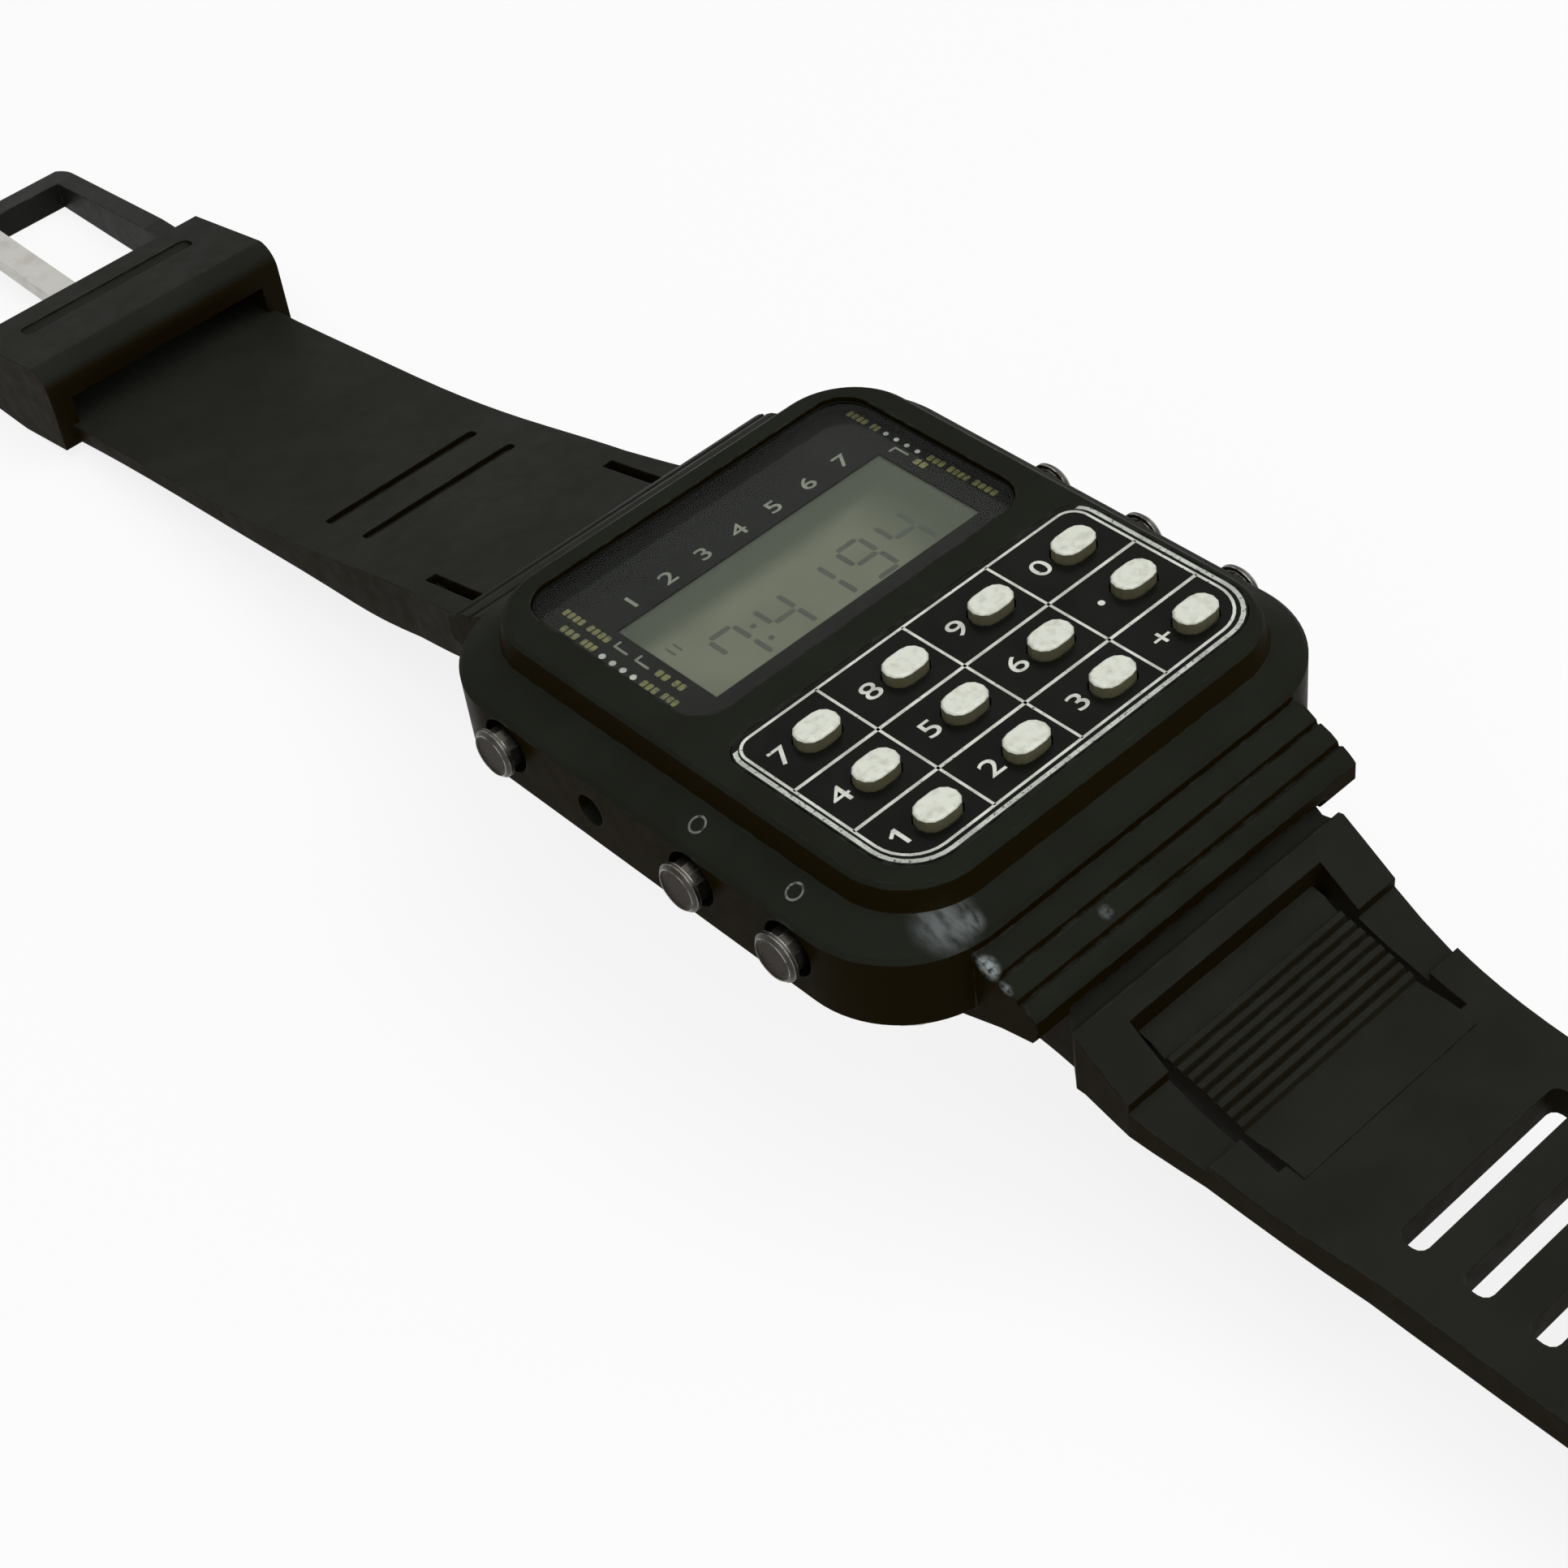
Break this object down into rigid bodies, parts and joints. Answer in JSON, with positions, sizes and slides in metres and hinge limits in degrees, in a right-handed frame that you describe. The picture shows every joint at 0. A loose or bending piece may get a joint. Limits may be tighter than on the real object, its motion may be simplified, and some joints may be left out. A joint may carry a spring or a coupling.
{
  "type": "calculator watch",
  "caption": "Resin wristwatch with a liquid crystal display over a small number keypad, round side buttons, ribbed strap hoods, a slotted resin strap with a moulded keeper and a pin buckle.",
  "frame": {"origin": "centre of the outer face of the case back", "axes": "+X to 3 o'clock, +Y to 12 o'clock along the strap, +Z out of the face"},
  "size_m": [0.0356, 0.2362, 0.0206],
  "materials": {
    "case_resin": "satin moulded resin, worn at edges",
    "strap_resin": "soft matt resin",
    "buckle_resin": "satin moulded resin",
    "window_glass": "polished",
    "printed_plate": "printed black",
    "lcd_glass": "grey-green display",
    "reflector_foil": "satin foil",
    "connector_rubber": "banded",
    "module_plastic": "moulded",
    "lamp_glass": "clear",
    "keypad_gloss": "printed black",
    "key_silver": "silver",
    "mat_rubber": "matt",
    "board_laminate": "green laminate",
    "chip_epoxy": "matt",
    "can_metal": "plated",
    "brass_trim": "plain",
    "cell_steel": "satin",
    "screw_steel": "plain",
    "back_steel": "satin",
    "button_chrome": "bright rim",
    "spring_steel": "wire",
    "buckle_steel": "satin",
    "adjust_plastic": "matt"
  },
  "bodies": {
    "head": {"case": "case_resin", "display_window": "window_glass", "face_plate": "printed_plate", "lcd_panel": "lcd_glass", "lcd_reflector": "reflector_foil", "lcd_connectors": "connector_rubber", "lcd_frame": "module_plastic", "lamp": "lamp_glass", "keypad_plate": "keypad_gloss", "key_mat": "mat_rubber", "circuit_board": "board_laminate", "chip": "chip_epoxy", "quartz_can": "can_metal", "trimmer": "brass_trim", "module_holder": "module_plastic", "battery": "cell_steel", "battery_clamp": "cell_steel", "module_screws": "screw_steel", "case_back": "back_steel", "back_screws": "screw_steel", "case_gasket": "mat_rubber", "spring_bar_top": "screw_steel", "spring_bar_tail": "screw_steel", "button_spring_left_top": "spring_steel", "button_spring_left_mid": "spring_steel", "button_spring_left_low": "spring_steel", "button_spring_right_top": "spring_steel", "button_spring_right_mid": "spring_steel", "button_spring_right_low": "spring_steel"},
    "key_7": {"key_7": "key_silver"},
    "key_8": {"key_8": "key_silver"},
    "key_9": {"key_9": "key_silver"},
    "key_0": {"key_0": "key_silver"},
    "key_4": {"key_4": "key_silver"},
    "key_5": {"key_5": "key_silver"},
    "key_6": {"key_6": "key_silver"},
    "key_point": {"key_point": "key_silver"},
    "key_1": {"key_1": "key_silver"},
    "key_2": {"key_2": "key_silver"},
    "key_3": {"key_3": "key_silver"},
    "key_plus": {"key_plus": "key_silver"},
    "button_left_top": {"button_left_top": "button_chrome", "button_clip_left_top": "screw_steel"},
    "button_left_mid": {"button_left_mid": "button_chrome", "button_clip_left_mid": "screw_steel"},
    "button_left_low": {"button_left_low": "button_chrome", "button_clip_left_low": "screw_steel"},
    "button_right_top": {"button_right_top": "button_chrome", "button_clip_right_top": "screw_steel"},
    "button_right_mid": {"button_right_mid": "button_chrome", "button_clip_right_mid": "screw_steel"},
    "button_right_low": {"button_right_low": "button_chrome", "button_clip_right_low": "screw_steel"},
    "adjust_pusher": {"adjust_pusher": "adjust_plastic"},
    "strap_top": {"strap_top": "strap_resin"},
    "strap_tail": {"strap_tail": "strap_resin"},
    "buckle": {"buckle_frame": "buckle_resin", "buckle_bar": "screw_steel"},
    "tongue": {"buckle_tongue": "buckle_steel"}
  },
  "joints": [
    {"name": "press_key_7", "type": "slide", "parent": "head", "child": "key_7", "axis": [0, 0, -1], "range_m": [0, 0.0005], "stiffness_N_per_m": 800, "deforming": ["key_mat"]},
    {"name": "press_key_8", "type": "slide", "parent": "head", "child": "key_8", "axis": [0, 0, -1], "range_m": [0, 0.0005], "stiffness_N_per_m": 800, "deforming": ["key_mat"]},
    {"name": "press_key_9", "type": "slide", "parent": "head", "child": "key_9", "axis": [0, 0, -1], "range_m": [0, 0.0005], "stiffness_N_per_m": 800, "deforming": ["key_mat"]},
    {"name": "press_key_0", "type": "slide", "parent": "head", "child": "key_0", "axis": [0, 0, -1], "range_m": [0, 0.0005], "stiffness_N_per_m": 800, "deforming": ["key_mat"]},
    {"name": "press_key_4", "type": "slide", "parent": "head", "child": "key_4", "axis": [0, 0, -1], "range_m": [0, 0.0005], "stiffness_N_per_m": 800, "deforming": ["key_mat"]},
    {"name": "press_key_5", "type": "slide", "parent": "head", "child": "key_5", "axis": [0, 0, -1], "range_m": [0, 0.0005], "stiffness_N_per_m": 800, "deforming": ["key_mat"]},
    {"name": "press_key_6", "type": "slide", "parent": "head", "child": "key_6", "axis": [0, 0, -1], "range_m": [0, 0.0005], "stiffness_N_per_m": 800, "deforming": ["key_mat"]},
    {"name": "press_key_point", "type": "slide", "parent": "head", "child": "key_point", "axis": [0, 0, -1], "range_m": [0, 0.0005], "stiffness_N_per_m": 800, "deforming": ["key_mat"]},
    {"name": "press_key_1", "type": "slide", "parent": "head", "child": "key_1", "axis": [0, 0, -1], "range_m": [0, 0.0005], "stiffness_N_per_m": 800, "deforming": ["key_mat"]},
    {"name": "press_key_2", "type": "slide", "parent": "head", "child": "key_2", "axis": [0, 0, -1], "range_m": [0, 0.0005], "stiffness_N_per_m": 800, "deforming": ["key_mat"]},
    {"name": "press_key_3", "type": "slide", "parent": "head", "child": "key_3", "axis": [0, 0, -1], "range_m": [0, 0.0005], "stiffness_N_per_m": 800, "deforming": ["key_mat"]},
    {"name": "press_key_plus", "type": "slide", "parent": "head", "child": "key_plus", "axis": [0, 0, -1], "range_m": [0, 0.0005], "stiffness_N_per_m": 800, "deforming": ["key_mat"]},
    {"name": "press_button_left_top", "type": "slide", "parent": "head", "child": "button_left_top", "axis": [1, 0, 0], "range_m": [0, 0.0005], "stiffness_N_per_m": 1500, "deforming": ["button_spring_left_top"]},
    {"name": "press_button_left_mid", "type": "slide", "parent": "head", "child": "button_left_mid", "axis": [1, 0, 0], "range_m": [0, 0.0005], "stiffness_N_per_m": 1500, "deforming": ["button_spring_left_mid"]},
    {"name": "press_button_left_low", "type": "slide", "parent": "head", "child": "button_left_low", "axis": [1, 0, 0], "range_m": [0, 0.0005], "stiffness_N_per_m": 1500, "deforming": ["button_spring_left_low"]},
    {"name": "press_button_right_top", "type": "slide", "parent": "head", "child": "button_right_top", "axis": [-1, 0, 0], "range_m": [0, 0.0005], "stiffness_N_per_m": 1500, "deforming": ["button_spring_right_top"]},
    {"name": "press_button_right_mid", "type": "slide", "parent": "head", "child": "button_right_mid", "axis": [-1, 0, 0], "range_m": [0, 0.0005], "stiffness_N_per_m": 1500, "deforming": ["button_spring_right_mid"]},
    {"name": "press_button_right_low", "type": "slide", "parent": "head", "child": "button_right_low", "axis": [-1, 0, 0], "range_m": [0, 0.0005], "stiffness_N_per_m": 1500, "deforming": ["button_spring_right_low"]},
    {"name": "press_adjust", "type": "slide", "parent": "head", "child": "adjust_pusher", "axis": [1, 0, 0], "range_m": [0, 0.0004], "stiffness_N_per_m": 800},
    {"name": "strap_top_hinge", "type": "hinge", "parent": "head", "child": "strap_top", "pos_m": [0, 0.01965, 0.0035], "axis": [-1, 0, 0], "range_deg": [0, 44]},
    {"name": "strap_tail_hinge", "type": "hinge", "parent": "head", "child": "strap_tail", "pos_m": [0, -0.01965, 0.0035], "axis": [1, 0, 0], "range_deg": [0, 44]},
    {"name": "buckle_hinge", "type": "hinge", "parent": "strap_top", "child": "buckle", "pos_m": [0, 0.08575, -0.0094], "axis": [1, 0, 0], "range_deg": [-40, 30]},
    {"name": "tongue_hinge", "type": "hinge", "parent": "buckle", "child": "tongue", "pos_m": [0, 0.08575, -0.0094], "axis": [1, 0, 0], "range_deg": [0, 80]}
  ]
}
